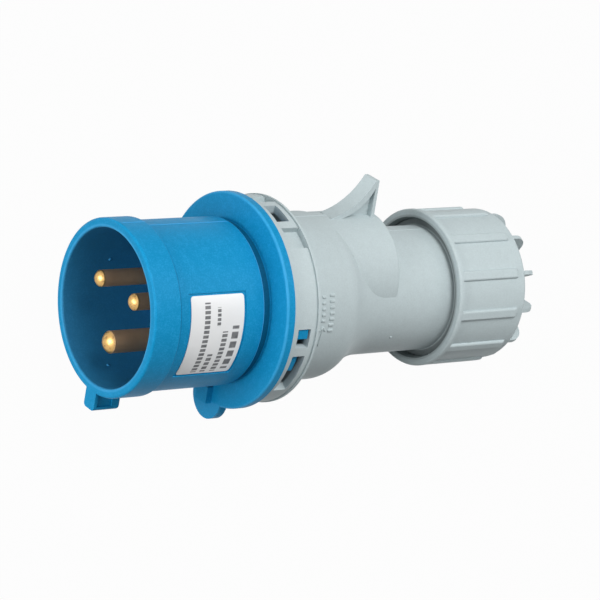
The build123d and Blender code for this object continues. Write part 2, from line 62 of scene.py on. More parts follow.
# Stations and radii of the solids that the finishes and marks refer to, in metres
PIN_TIP_END = 0.0042
BAND_REAR = 0.0115
TUBE_END = 0.047
FLANGE_FRONT = 0.0501
COLLAR_RECESS_END = 0.0636
COLLAR_REAR = 0.06545
FIN_FRONT = 0.0888
HOOD_END = 0.1106
NUT_FRONT = 0.1352
THREAD_START = 0.138
THREAD_END = 0.152
NUT_FLOOR = 0.1651
NECK_RADIUS = 0.0232
THREAD_RADIUS = 0.0256
NUT_LIP_RADIUS = 0.0271
MOUTH_RADIUS = 0.0284
GROOVE_RADIUS = 0.0288
LUG_ROOT_RADIUS = 0.0325
COLLAR_EDGE_RADIUS = 0.0345
FLANGE_RADIUS = 0.0389

# The label: first station and length along the plug, first angle and sweep round it in degrees
LABEL_FRONT = 0.016
LABEL_LENGTH = 0.0221
LABEL_ANGLE = 62.5
LABEL_SWEEP = 59.5

# How softly the finishes change, and how wide a painted edge highlight or shade line is, in metres
TIP_STEP = 0.0010
RECESS_STEP = 0.0006
EDGE_STEP = 0.0004
EDGE_WIDTH = 0.0008

# Middle of a noise, and how much of the moulded plastic is speckled or clouded by flow
NOISE_MIDDLE = 0.5
SPECKLED_SHARE = 0.25
FLOW_SHARE = 0.12

# Camera in the plug's frame, with parts along the axis, towards its upper side and towards its
# near side. The upper side is at an angle round the axis. Lens and sensor are in millimetres.
UPPER_SIDE = -21.5
CAMERA_PLACE = (-0.560637, 0.034271, 0.882340)
CAMERA_FORWARD = (0.58946, -0.03306, -0.80712)
CAMERA_UP = (0.05600, 0.99843, 0.0)
CAMERA_LENS = 180.92
CAMERA_SENSOR = 36.0


def radial(angle):
    """Direction away from the axis at an angle in degrees."""
    return TWELVE_OCLOCK * cos(radians(angle)) + THREE_OCLOCK * sin(radians(angle))


def place(station, distance, angle):
    """Point at a station, a distance from the axis and an angle."""
    return MOUTH + TO_REAR * station + radial(angle) * distance


def from_plug(parts):
    """Direction given by its parts along the axis, to the upper side and to the near side."""
    along, up, near = parts
    return TO_REAR * along + radial(UPPER_SIDE) * up + radial(UPPER_SIDE + 90) * near


def spread(start, end, count):
    """Evenly spaced numbers from start to end."""
    return [start + (end - start) * i / (count - 1) for i in range(count)]


def times(colour, factor, lift=0.0):
    """Colour made lighter or darker by a factor, and lifted by an even amount."""
    return [min(1.0, part * factor + lift) for part in colour]


class Signal:
    """A node's output that Python's arithmetic works on: each operation adds a Math node."""

    def __init__(self, graph, socket):
        self.graph = graph
        self.socket = socket

    def math(self, operation, *others, clamp=False):
        values = dict(enumerate((self, *others)))
        settings = {"operation": operation, "use_clamp": clamp}
        return self.graph.get("ShaderNodeMath", settings, values)

    def reflected(self, operation, other):
        return self.graph.get("ShaderNodeMath", {"operation": operation}, {0: other, 1: self})

    def __add__(self, other):
        return self.math("ADD", other)

    def __radd__(self, other):
        return self.reflected("ADD", other)

    def __sub__(self, other):
        return self.math("SUBTRACT", other)

    def __rsub__(self, other):
        return self.reflected("SUBTRACT", other)

    def __mul__(self, other):
        return self.math("MULTIPLY", other)

    def __rmul__(self, other):
        return self.reflected("MULTIPLY", other)

    def __truediv__(self, other):
        return self.math("DIVIDE", other)

    def __rtruediv__(self, other):
        return self.reflected("DIVIDE", other)

    def over(self, edge, soft):
        """0 below an edge, 1 above it, with a soft step between."""
        return ((self - (edge - soft / 2)) / soft).math("ADD", 0.0, clamp=True)

    def within(self, low, high, soft):
        """1 between two edges and 0 outside them."""
        return self.over(low, soft) * (1 - self.over(high, soft))

    def swing(self, width):
        """A noise's swing to both sides of its middle, scaled to a width."""
        return (self - NOISE_MIDDLE) * width


class Graph:
    """Node tree that a material or the world is built in."""

    def __init__(self, tree):
        self.tree = tree
        self.tree.nodes.clear()

    def get(self, kind, settings=None, inputs=None, output=0):
        """Add a node, with its settings and its inputs' values or links, and return an output."""
        node = self.tree.nodes.new(kind)
        for name, value in (settings or {}).items():
            setattr(node, name, value)
        for name, value in (inputs or {}).items():
            if isinstance(value, Signal):
                self.tree.links.new(value.socket, node.inputs[name])
            else:
                node.inputs[name].default_value = value
        return Signal(self, node.outputs[output]) if node.outputs else None

    def vector(self, operation, first, second):
        """Vector Math on two vectors: a value for a dot product, else a vector."""
        output = "Value" if operation == "DOT_PRODUCT" else "Vector"
        inputs = {0: first, 1: second}
        return self.get("ShaderNodeVectorMath", {"operation": operation}, inputs, output)

    def mix(self, factor, first, second):
        """Colour between two colours."""
        first, second = [
            value if isinstance(value, Signal) else (*value, 1.0) for value in (first, second)
        ]
        # The sockets of a Mix node's colours are its inputs 6 and 7 and its output 2
        inputs = {0: factor, 6: first, 7: second}
        return self.get("ShaderNodeMix", {"data_type": "RGBA"}, inputs, 2)

    def seen(self):
        """1 for rays that come from the camera, straight or by way of gloss or glass."""
        camera, glossy, transmission = [
            self.get("ShaderNodeLightPath", output=f"Is {kind} Ray")
            for kind in ("Camera", "Glossy", "Transmission")
        ]
        return (camera + glossy).math("ADD", transmission, clamp=True)


class Finish(Graph):
    """Material with one Principled shader, whose sockets are constants or vary over the surface."""

    def __init__(self, name, **constants):
        self.material = bpy.data.materials.new(name)
        self.material.use_nodes = True
        super().__init__(self.material.node_tree)
        self.sockets = {socket.replace("_", " "): value for socket, value in constants.items()}
        self.spot = self.get("ShaderNodeTexCoord", output="Object")
        offset = self.vector("SUBTRACT", self.spot, MOUTH)
        self.station = self.vector("DOT_PRODUCT", offset, TO_REAR)
        self.twelve = self.vector("DOT_PRODUCT", offset, TWELVE_OCLOCK)
        self.three = self.vector("DOT_PRODUCT", offset, THREE_OCLOCK)

    def noise(self, scale, detail=2.0, roughness=0.5, stretch=None):
        """Noise from 0 to 1 at a scale per metre, squeezed along the axes if asked."""
        spot = self.vector("MULTIPLY", self.spot, stretch) if stretch else self.spot
        values = {"Vector": spot, "Scale": scale, "Detail": detail, "Roughness": roughness}
        return self.get("ShaderNodeTexNoise", inputs=values, output="Fac")

    def turn(self):
        """Angle round the axis, in turns from 12 o'clock."""
        return self.three.math("ARCTAN2", self.twelve) / (2 * pi)

    def distance(self):
        """Distance from the axis."""
        return (self.twelve * self.twelve + self.three * self.three).math("SQRT")

    def bump(self, height, depth):
        """Raise the surface by a height from 0 to 1 times a depth, over what was raised before."""
        values = {"Height": height, "Distance": depth}
        if "Normal" in self.sockets:
            values["Normal"] = self.sockets["Normal"]
        self.sockets["Normal"] = self.get("ShaderNodeBump", inputs=values, output="Normal")

    def paint(self, cover, colour):
        """Lay a colour over the present one, as far as cover goes from 0 to 1."""
        self.sockets["Base Color"] = self.mix(cover, self.sockets["Base Color"], colour)

    def shade(self, recess, share, dust_and_shade=(0.0, 0.0, 0.0)):
        """Paint shade: keep a share of the colour where recess is 1, and mix the rest towards black or a
        given tint.
        """
        self.paint(recess * (1 - share), dust_and_shade)

    def finish(self):
        """Add the shader and its output, and return the material."""
        shader = self.get("ShaderNodeBsdfPrincipled", inputs=self.sockets)
        self.get("ShaderNodeOutputMaterial", inputs={"Surface": shader})
        return self.material


def moulded(name, colour, grain, roughness, shade, speckle):
    """Moulded plastic: fine spark-eroded grain, faint flow clouding and uneven sheen."""
    finish = Finish(name, IOR=1.46, Specular_IOR_Level=0.12)
    cloud = finish.noise(scale=38.0, detail=3.0, roughness=0.55)
    flow = finish.noise(scale=150.0, detail=3.0, roughness=0.6, stretch=(0.25, 1.0, 1.0))
    fine = finish.noise(scale=1700.0, roughness=0.6)
    mottle = finish.noise(scale=360.0, detail=3.0, roughness=0.6)
    tint = finish.mix(cloud, times(colour, 1 - shade), times(colour, 1 + shade))
    specks = (fine - NOISE_MIDDLE + mottle.swing(0.5)) * speckle + SPECKLED_SHARE
    speckled = finish.mix(specks, tint, times(colour, 1.18, lift=0.01))
    finish.sockets["Base Color"] = finish.mix(flow * FLOW_SHARE, speckled, times(colour, 0.78))
    finish.sockets["Roughness"] = roughness + cloud.swing(0.14) + fine.swing(0.12)
    finish.bump(finish.noise(scale=2400.0, roughness=0.65), grain)
    finish.bump(finish.noise(scale=120.0, roughness=0.4), grain * 2.5)
    return finish


def blue_plastic(look, name="blue_plastic", share=1.0):
    """Blue polyamide of the shroud, or a darker share of its colour for the carrier as painted shade:
    painted shade in the mouth, in the groove and behind the band, and painted highlights along the edges."""
    blue = times(look.blue, share)
    finish = moulded(name, blue, look.grain, roughness=0.46, shade=0.07, speckle=3.0)
    station, distance = finish.station, finish.distance()
    outside = distance.over(GROOVE_RADIUS - EDGE_STEP, EDGE_STEP)

    # Painted shade inside the mouth, mixed towards a greyish tint
    mouth = 1 - distance.over(MOUTH_RADIUS, RECESS_STEP)
    mouth = mouth * (1 - station.over(TUBE_END, RECESS_STEP))
    finish.shade(mouth, look.mouth_share, dust_and_shade=(0.07, 0.05, 0.08))

    # Painted shade in the groove between the tube and the flange
    groove = station.within(TUBE_END, FLANGE_FRONT - EDGE_STEP, EDGE_STEP)
    groove = groove * distance.within(GROOVE_RADIUS - EDGE_STEP, LUG_ROOT_RADIUS, EDGE_STEP)
    finish.shade(groove, look.groove_share)

    # Painted shade line behind the band's step
    band_step = station.within(BAND_REAR - EDGE_WIDTH, BAND_REAR + EDGE_STEP, EDGE_STEP)
    finish.shade(outside * band_step, look.step_share)

    # Painted highlights along the tube's end, the flange's rim and the mouth's lip
    tube_edge_highlight = outside * station.within(TUBE_END - EDGE_WIDTH, TUBE_END, EDGE_STEP)
    rim_highlight = station.within(FLANGE_FRONT, FLANGE_FRONT + EDGE_WIDTH, EDGE_STEP)
    rim_highlight = rim_highlight * distance.over(FLANGE_RADIUS - EDGE_WIDTH, EDGE_STEP)
    lip_highlight = distance.within(MOUTH_RADIUS, MOUTH_RADIUS + EDGE_WIDTH, EDGE_STEP)
    lip_highlight = lip_highlight * (1 - station.over(EDGE_STEP, EDGE_STEP))
    edges = tube_edge_highlight + (rim_highlight + lip_highlight) * 0.5
    patches = finish.noise(scale=300.0) + 0.4
    finish.paint(edges * patches, times(look.blue, 1.35, lift=0.06))
    return finish.finish()


def grey_plastic(look, name, recesses):
    """Light blue-grey polyamide with painted shade in recesses: each a first and last station and two radii.
    """
    finish = moulded(name, look.grey, look.grain, roughness=0.48, shade=0.035, speckle=1.1)
    distance = finish.distance()
    # Painted shade in each recess
    for start, end, inner, outer in recesses:
        recess = finish.station.within(start, end, RECESS_STEP)
        finish.shade(recess * distance.within(inner, outer, RECESS_STEP), look.recess_share)
    return finish.finish()


def cage_plastic(look):
    """Off-white plastic of the inner gland pieces."""
    grain = look.grain * 0.6
    finish = moulded("cage_plastic", look.cage, grain, roughness=0.5, shade=0.03, speckle=1.0)
    return finish.finish()


def brass(look):
    """Brass: bright where the tip was polished, dull and brown on the shank, partly tarnish and partly
    painted shade.
    """
    finish = Finish("contact_brass")
    shank = finish.station.over(PIN_TIP_END, TIP_STEP)
    stain = finish.noise(scale=90.0, detail=4.0, roughness=0.6)
    lathe = (finish.station * (2 * pi / look.lathe_pitch)).math("SINE") * 0.5 + 0.5
    # The dull shank is partly tarnish and partly painted shade
    dull = finish.mix(stain, times(look.tarnish_and_shade, 0.8), times(look.tarnish_and_shade, 1.25))
    spots = finish.noise(scale=900.0, detail=3.0, roughness=0.6).over(edge=0.58, soft=0.12)
    bright = finish.mix(spots, look.brass, times(look.brass, 0.6))
    finish.sockets["Base Color"] = finish.mix(shank, bright, dull)
    finish.sockets["Metallic"] = 1.0 - shank * 0.45
    finish.sockets["Roughness"] = 0.38 + shank * 0.14 + stain.swing(0.12)
    finish.bump(lathe * shank, depth=0.00002)
    finish.bump(finish.noise(scale=900.0, roughness=0.6), depth=0.00001)
    return finish.finish()


def plated_steel(look):
    """Zinc-plated steel of the small screws and plates."""
    finish = Finish("plated_steel", Metallic=1.0)
    stain = finish.noise(scale=260.0, detail=4.0, roughness=0.6)
    finish.sockets["Base Color"] = finish.mix(stain, times(look.steel, 0.8), look.steel)
    finish.sockets["Roughness"] = 0.3 + stain * 0.2
    finish.bump(finish.noise(scale=1800.0, roughness=0.6), depth=0.00003)
    return finish.finish()


def black_rubber(look):
    """Matt black rubber of the grommet."""
    finish = Finish("black_rubber", IOR=1.45)
    dust_and_shade = finish.noise(scale=300.0, detail=4.0, roughness=0.6)
    dusty = times(look.rubber, 1.0, lift=0.03)
    finish.sockets["Base Color"] = finish.mix(dust_and_shade * 0.5, look.rubber, dusty)
    finish.sockets["Roughness"] = 0.7 + dust_and_shade * 0.2
    finish.bump(finish.noise(scale=1500.0, detail=3.0, roughness=0.6), depth=0.00006)
    return finish.finish()


# Rows of plain blocks on the label: place and half height along the plug as shares of the
# label's length, then start, end and block pitch round the plug as shares of its sweep
LABEL_ROWS = [
    (0.31, 0.052, 0.03, 0.92, 0.056),
    (0.53, 0.034, 0.64, 0.86, 0.050),
    (0.48, 0.048, 0.03, 0.30, 0.066),
    (0.67, 0.050, 0.03, 0.58, 0.056),
    (0.86, 0.062, 0.06, 0.64, 0.118),
]
# Start and end of each block as shares of the pitch
LABEL_BLOCK = (0.10, 0.80)


def label_film(look):
    """Silver film with rows of plain printed blocks, wavy and creased where it was stuck down."""
    finish = Finish("label_film", IOR=1.5)
    from_end = (LABEL_ANGLE + LABEL_SWEEP - finish.turn() * 360.0) / LABEL_SWEEP
    along = (finish.station - LABEL_FRONT) / LABEL_LENGTH
    ink = None
    for row, half, start, end, pitch in LABEL_ROWS:
        block = (from_end / pitch).math("FRACT").within(*LABEL_BLOCK, soft=0.12)
        block = block * along.within(row - half, row + half, soft=0.012)
        block = block * from_end.within(start, end, soft=0.006)
        ink = block if ink is None else ink.math("MAXIMUM", block)
    patches = finish.noise(scale=500.0) * 0.3 + 0.75
    ink = ink * patches
    wave = finish.noise(scale=95.0)
    crinkle = finish.noise(scale=420.0, detail=4.0, roughness=0.65)
    corner = (1 - from_end.over(edge=0.16, soft=0.55)) * (1 - along.over(edge=0.42, soft=0.75))
    creases = corner * (crinkle * 0.7 + 0.45)
    film = finish.mix(creases, look.foil, times(look.foil, 0.6))
    finish.sockets["Base Color"] = finish.mix(ink * 0.95, film, look.ink)
    finish.sockets["Metallic"] = (1 - ink) * 0.15
    finish.sockets["Roughness"] = 0.32 + wave * 0.10 + ink * 0.2
    finish.bump(wave, depth=0.0003)
    finish.bump(crinkle, depth=0.00008)
    return finish.finish()


def dress(names, material):
    """Give CAD nodes a material."""
    for name in names:
        mesh = frame["nodes"][name].data
        mesh.materials.clear()
        mesh.materials.append(material)


class Surface:
    """A CAD node's surface, for pieces that lie on it."""

    def __init__(self, node):
        mesh = frame["nodes"][node].data
        faces = [tuple(face.vertices) for face in mesh.polygons]
        self.tree = BVHTree.FromPolygons([vertex.co for vertex in mesh.vertices], faces)
        # A distance from the axis that is surely outside the node
        self.reach = max((vertex.co - MOUTH).length for vertex in mesh.vertices)

    def met(self, start, direction):
        """Point met from a start, and its normal turned back towards the start."""
        spot, normal, *_ = self.tree.ray_cast(start, direction)
        if spot is None:
            raise RuntimeError(f"no surface is met from {tuple(start)}")
        return spot, -normal if normal.dot(direction) > 0 else normal

    def outside(self, station, angle):
        """Outermost point of the node at a station and an angle, and its normal."""
        return self.met(place(station, self.reach, angle), -radial(angle))

    def inside(self, station, angle):
        """Innermost point of the node at a station and an angle, and its normal."""
        return self.met(place(station, 0.0, angle), radial(angle))


def finish_piece(name, bm, material, body):
    """Turn a bmesh into a smooth piece with a material's name, which rides on a body."""
    bmesh.ops.recalc_face_normals(bm, faces=bm.faces)
    mesh = bpy.data.meshes.new(name)
    bm.to_mesh(mesh)
    bm.free()
    mesh.materials.append(bpy.data.materials[material])
    for face in mesh.polygons:
        face.use_smooth = True
    piece = bpy.data.objects.new(name, mesh)
    bpy.context.scene.collection.objects.link(piece)
    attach(piece, body)


def loft(bm, rings, tip=None):
    """Skin closed rings of vertices: the first end is closed, the last one closed or pointed."""
    count = len(rings[0])
    for first, second in zip(rings, rings[1:]):
        for k in range(count):
            after = (k + 1) % count
            bm.faces.new((first[k], first[after], second[after], second[k]))
    bm.faces.new(rings[0][::-1])
    if tip is None:
        bm.faces.new(rings[-1])
    else:
        for k in range(count):
            bm.faces.new((rings[-1][k], rings[-1][(k + 1) % count], tip))


def bead(bm, spots, width, height, sink):
    """Half-round bead along surface points, each a point and a normal, with tapered ends."""
    steps = 6
    end_share = 0.25
    last = len(spots) - 1
    rings = []
    for i, (spot, normal) in enumerate(spots):
        before, after = spots[max(i - 1, 0)][0], spots[min(i + 1, last)][0]
        share = end_share if i in (0, last) else 1.0
        across = (after - before).normalized().cross(normal).normalized()
        ring = []
        for k in range(steps + 1):
            turn = pi * k / steps
            side = across * cos(turn) * width / 2 * share
            ring.append(spot + side + normal * sin(turn) * height * share)
        for side in (-1, 1):
            ring.append(spot + across * side * width / 2 * share - normal * sink)
        rings.append([bm.verts.new(point) for point in ring])
    loft(bm, rings)


def dome(bm, spot, normal, radius, height, sink):
    """Small round pip on a surface."""
    rows, around = 4, 14
    across = normal.orthogonal().normalized()
    beside = normal.cross(across)
    spokes = [across * cos(a) + beside * sin(a) for a in spread(0.0, 2 * pi, around + 1)[:-1]]
    rings = []
    for row in range(rows):
        turn = pi / 2 * row / rows
        lift = normal * (height * sin(turn) if row else -sink)
        rings.append([bm.verts.new(spot + spoke * radius * cos(turn) + lift) for spoke in spokes])
    loft(bm, rings, bm.verts.new(spot + normal * height))


class PlugLook(PropertyGroup):
    """Colours, finish and painted shade of the plug."""

    blue: FloatVectorProperty(
        name="Blue plastic", description="Colour of the shroud",
        subtype="COLOR", size=3, min=0, max=1, default=(0.004, 0.240, 0.480))
    # The carrier's blue is a darker share of the shroud's blue, as painted shade
    carrier_shade_share: FloatProperty(
        name="Carrier shade", description="Share of the shroud's blue that the carrier has",
        subtype="FACTOR", min=0, max=1, default=0.95)
    grey: FloatVectorProperty(
        name="Grey plastic", description="Colour of the housing and the nut",
        subtype="COLOR", size=3, min=0, max=1, default=(0.470, 0.545, 0.560))
    cage: FloatVectorProperty(
        name="Cage plastic", description="Colour of the inner gland pieces",
        subtype="COLOR", size=3, min=0, max=1, default=(0.68, 0.69, 0.67))
    rubber: FloatVectorProperty(
        name="Rubber", description="Colour of the grommet",
        subtype="COLOR", size=3, min=0, max=1, default=(0.022, 0.022, 0.023))
    brass: FloatVectorProperty(
        name="Brass", description="Colour of the polished pin tips",
        subtype="COLOR", size=3, min=0, max=1, default=(0.66, 0.41, 0.15))
    # The shanks' colour is partly tarnish and partly painted shade
    tarnish_and_shade: FloatVectorProperty(
        name="Tarnish", description="Colour of the pins' dull shanks",
        subtype="COLOR", size=3, min=0, max=1, default=(0.52, 0.33, 0.19))
    steel: FloatVectorProperty(
        name="Steel", description="Colour of the screws and plates",
        subtype="COLOR", size=3, min=0, max=1, default=(0.66, 0.67, 0.68))
    foil: FloatVectorProperty(
        name="Label film", description="Colour of the label's silver film",
        subtype="COLOR", size=3, min=0, max=1, default=(0.750, 0.759, 0.764))
    ink: FloatVectorProperty(
        name="Ink", description="Colour of the blocks on the label",
        subtype="COLOR", size=3, min=0, max=1, default=(0.035, 0.04, 0.045))
    # Shares of colour kept where shade is painted: in the mouth, the groove, behind the band and in the
    # grey's recesses
    mouth_share: FloatProperty(
        name="Mouth shade", description="Share of its colour that the blue keeps in the mouth",
        subtype="FACTOR", min=0, max=1, default=0.70)
    groove_share: FloatProperty(
        name="Groove shade", description="Share of its colour that the blue keeps in the groove",
        subtype="FACTOR", min=0, max=1, default=0.38)
    step_share: FloatProperty(
        name="Step shade", description="Share of its colour that the blue keeps behind the band",
        subtype="FACTOR", min=0, max=1, default=0.7)
    recess_share: FloatProperty(
        name="Recess shade", description="Share of its colour that the grey keeps in recesses",
        subtype="FACTOR", min=0, max=1, default=0.42)
    grain: FloatProperty(
        name="Grain", description="Depth of the plastic's moulded grain",
        subtype="DISTANCE", unit="LENGTH", min=0, default=0.00003)
    lathe_pitch: FloatProperty(
        name="Lathe pitch", description="Spacing of the turning marks on the pins",
        subtype="DISTANCE", unit="LENGTH", min=0, default=0.00035)


class PlugMarks(PropertyGroup):
    """Sizes of the moulded marks and the thread."""

    seam_width: FloatProperty(
        name="Seam width", description="Width of the parting lines",
        subtype="DISTANCE", unit="LENGTH", min=0, default=0.00055)
    seam_height: FloatProperty(
        name="Seam height", description="Height of the parting lines",
        subtype="DISTANCE", unit="LENGTH", min=0, default=0.00016)
    seam_points: IntProperty(
        name="Seam points", description="Points along a parting line", min=4, default=48)
    seat: FloatProperty(
        name="Seat", description="Depth by which a mark sits in its surface",
        subtype="DISTANCE", unit="LENGTH", min=0, default=0.0002)
    sign_width: FloatProperty(
        name="Sign width", description="Width of the raised lines of the opening sign",
        subtype="DISTANCE", unit="LENGTH", min=0, default=0.0008)
    sign_height: FloatProperty(
        name="Sign height", description="Height of the raised lines of the opening sign",
        subtype="DISTANCE", unit="LENGTH", min=0, default=0.00035)
    thread_pitch: FloatProperty(
        name="Thread pitch", description="Travel of the gland nut for each turn",
        subtype="DISTANCE", unit="LENGTH", min=0, default=0.004)
    thread_height: FloatProperty(
        name="Thread height", description="Height of the thread's ridge",
        subtype="DISTANCE", unit="LENGTH", min=0, default=0.0006)
    pip_radius: FloatProperty(
        name="Pip radius", description="Radius of the small pips that the mould leaves",
        subtype="DISTANCE", unit="LENGTH", min=0, default=0.0006)
    pip_height: FloatProperty(
        name="Pip height", description="Height of the small pips that the mould leaves",
        subtype="DISTANCE", unit="LENGTH", min=0, default=0.00025)


class PlugStudio(PropertyGroup):
    """Floor, lamps and backdrop."""

    floor: FloatVectorProperty(
        name="Floor", description="Colour of the floor in the light that it throws back",
        subtype="COLOR", size=3, min=0, max=1, default=(0.28, 0.28, 0.28))
    floor_white: FloatProperty(
        name="Floor white", description="Share of plain white that the camera sees in the floor",
        subtype="FACTOR", min=0, max=1, default=0.97)
    key: FloatProperty(
        name="Key lamp", description="Power of the large lamp on the near side",
        subtype="POWER", unit="POWER", min=0, default=13.5)
    fill: FloatProperty(
        name="Fill lamp", description="Power of the lamp in front of the mouth",
        subtype="POWER", unit="POWER", min=0, default=13.0)
    sheen: FloatProperty(
        name="Sheen lamp", description="Power of the lamp that the tube shows a sheen of",
        subtype="POWER", unit="POWER", min=0, default=1.6)
    sky: FloatProperty(
        name="Ambient", description="Level of the even light from all round",
        min=0, default=0.22)


class PLUG_OT_finish_shroud(Operator):
    """Give the shroud and the contact carrier their blue plastic"""

    bl_idname = "plug.finish_shroud"
    bl_label = "Finish shroud"

    def execute(self, context):
        look = context.scene.plug_look
        dress(["front_shroud"], blue_plastic(look))
        dress(["contact_carrier"], blue_plastic(look, "carrier_plastic", look.carrier_shade_share))
        return {"FINISHED"}


class PLUG_OT_finish_housing(Operator):
    """Give the housing and the gland nut their grey plastic"""

    bl_idname = "plug.finish_housing"
    bl_label = "Finish housing and nut"

    # How far behind the nut's lip the painted shade on the neck starts
    lip_depth = 0.001
    # Each recess with painted shade: first and last station, and smallest and largest distance
    # from the axis
    housing_recesses = [
        (TUBE_END, COLLAR_RECESS_END, 0.0, COLLAR_EDGE_RADIUS),
        (NUT_FRONT + lip_depth, THREAD_START + RECESS_STEP,
         NECK_RADIUS + RECESS_STEP / 2, THREAD_RADIUS + RECESS_STEP),
    ]
    nut_recesses = [(NUT_FRONT, NUT_FLOOR, 0.0, NUT_LIP_RADIUS)]

    def execute(self, context):
        look = context.scene.plug_look
        dress(["housing"], grey_plastic(look, "housing_plastic", self.housing_recesses))
        dress(["gland_nut"], grey_plastic(look, "nut_plastic", self.nut_recesses))
        return {"FINISHED"}


class PLUG_OT_finish_gland(Operator):
    """Give the cage, the slip ring, the retainer and the grommet their finish"""

    bl_idname = "plug.finish_gland"
    bl_label = "Finish gland pieces"

    def execute(self, context):
        look = context.scene.plug_look
        dress(["clamp_cage", "slip_ring", "pin_retainer"], cage_plastic(look))
        dress(["cable_grommet"], black_rubber(look))
        return {"FINISHED"}


class PLUG_OT_finish_contacts(Operator):
    """Give the pins their brass, and the screws and plates their zinc"""

    bl_idname = "plug.finish_contacts"
    bl_label = "Finish contacts"

    def execute(self, context):
        look = context.scene.plug_look
        nodes = frame["nodes"]
        dress([name for name in nodes if name.endswith("_pin")], brass(look))
        fasteners = [name for name in nodes if "screw" in name or "plate" in name]
        dress(fasteners, plated_steel(look))
        return {"FINISHED"}


class PLUG_OT_finish_label(Operator):
    """Give the label its silver film with rows of plain blocks"""

    bl_idname = "plug.finish_label"
    bl_label = "Finish label"

    def execute(self, context):
        dress(["rating_label"], label_film(context.scene.plug_look))
        return {"FINISHED"}


class PLUG_OT_add_seams(Operator):
    """Raise the parting lines of the two-part moulds along the shroud and the housing"""

    bl_idname = "plug.add_seams"
    bl_label = "Add parting lines"

    # Gaps left at the ends of the lines
    gap = 0.0012
    small_gap = 0.0004
    # Each line: first and last station, and angle
    shroud_lines = [
        (gap, TUBE_END - gap, 0),
        (BAND_REAR + gap, TUBE_END - gap, 180),
    ]
    housing_lines = [
        (COLLAR_REAR + small_gap, FIN_FRONT, 0),
        (HOOD_END + small_gap, NUT_FRONT + gap, 0),
        (COLLAR_REAR + small_gap, NUT_FRONT + gap, 180),
    ]

    def execute(self, context):
        marks = context.scene.plug_marks
        seams = {
            "shroud_seam": ("front_shroud", self.shroud_lines, "blue_plastic", "blue_plastic"),
            "housing_seam": ("housing", self.housing_lines, "housing_plastic", "grey_plastic"),
        }
        for name, (node, lines, material, slot) in seams.items():
            surface = Surface(node)
            bm = bmesh.new()
            for start, end, angle in lines:
                stations = spread(start, end, marks.seam_points)
                spots = [surface.outside(station, angle) for station in stations]
                bead(bm, spots, marks.seam_width, marks.seam_height, marks.seat)
            finish_piece(name, bm, material, "plug")
        return {"FINISHED"}


class PLUG_OT_add_thread(Operator):
    """Raise the ridge of the thread that the gland nut turns on"""

    bl_idname = "plug.add_thread"
    bl_label = "Add thread"

    # Widths of the ridge's root and crest as shares of the pitch, and turns that each end rises in
    root_share = 0.62
    crest_share = 0.28
    end_turns = 0.12
    points_a_turn = 72

    def execute(self, context):
        marks = context.scene.plug_marks
        root = marks.thread_pitch * self.root_share / 2
        crest = marks.thread_pitch * self.crest_share / 2
        foot = THREAD_RADIUS - marks.seat
        first, last = THREAD_START + root, THREAD_END - root
        turns = (last - first) / marks.thread_pitch
        bm = bmesh.new()
        rings = []
        for turn in spread(0.0, turns, round(turns * self.points_a_turn)):
            rise = min(1.0, turn / self.end_turns, (turns - turn) / self.end_turns)
            top = THREAD_RADIUS + marks.thread_height * rise
            profile = [
                (-root, THREAD_RADIUS), (-crest, top), (crest, top),
                (root, THREAD_RADIUS), (root, foot), (-root, foot),
            ]
            station = first + turn * marks.thread_pitch
            points = [place(station + along, radius, turn * 360) for along, radius in profile]
            rings.append([bm.verts.new(point) for point in points])
        loft(bm, rings)
        finish_piece("housing_thread", bm, "housing_plastic", "plug")
        return {"FINISHED"}


class PLUG_OT_add_opening_sign(Operator):
    """Raise rows of plain bars and a plain arrow on the barrel"""

    bl_idname = "plug.add_opening_sign"
    bl_label = "Add opening sign"

    # Each row of bars: first and last station of a bar, first and last angle of the row, and bars
    rows = [(0.0745, 0.0769, 68.0, 92.0, 7), (0.0712, 0.0730, 69.0, 85.0, 5)]
    # Width of a bar as a share of the sign's lines
    bar_share = 1.6
    # The arrow: its station, the angles of its tip and tail, and how far its barbs run back
    # round the barrel, in degrees, and along it
    arrow_station = 0.0722
    arrow_span = (89.0, 104.0)
    barb_sweep = 3.5
    barb_reach = 0.0014
    # Points along each line
    points = 10

    def execute(self, context):
        marks = context.scene.plug_marks
        lines = []
        for first, last, start, end, bars in self.rows:
            for angle in spread(start, end, bars):
                bar = [(station, angle) for station in spread(first, last, self.points)]
                lines.append((bar, marks.sign_width * self.bar_share))
        tip, tail = self.arrow_span
        shaft = [(self.arrow_station, angle) for angle in spread(tip, tail, self.points)]
        lines.append((shaft, marks.sign_width))
        for reach in (-self.barb_reach, self.barb_reach):
            barb = [
                (self.arrow_station + reach * share, tip + self.barb_sweep * share)
                for share in spread(0.0, 1.0, self.points)
            ]
            lines.append((barb, marks.sign_width))
        housing = Surface("housing")
        bm = bmesh.new()
        for line, width in lines:
            spots = [housing.outside(station, angle) for station, angle in line]
            bead(bm, spots, width, marks.sign_height, marks.seat)
        finish_piece("opening_sign", bm, "housing_plastic", "plug")
        return {"FINISHED"}


class PLUG_OT_add_pips(Operator):
    """Raise the small pips that the moulds leave on the neck and in the mouth"""

    bl_idname = "plug.add_pips"
    bl_label = "Add mould pips"

    # Each pip: station and angle
    neck_pips = [(0.1124, 116.0)]
    mouth_pips = [(0.0175, -75.5), (0.0120, 200.0)]

    def execute(self, context):
        housing, shroud = Surface("housing"), Surface("front_shroud")
        on_neck = [housing.outside(*pip) for pip in self.neck_pips]
        in_mouth = [shroud.inside(*pip) for pip in self.mouth_pips]
        self.add(context, "neck_pips", on_neck, "housing_plastic", "grey_plastic")
        self.add(context, "mouth_pips", in_mouth, "blue_plastic", "blue_plastic")
        return {"FINISHED"}

    def add(self, context, name, spots, material, slot):
        """Set a pip on each spot of a surface."""
        marks = context.scene.plug_marks
        bm = bmesh.new()
        for spot, normal in spots:
            dome(bm, spot, normal, marks.pip_radius, marks.pip_height, marks.seat)
        finish_piece(name, bm, material, "plug")


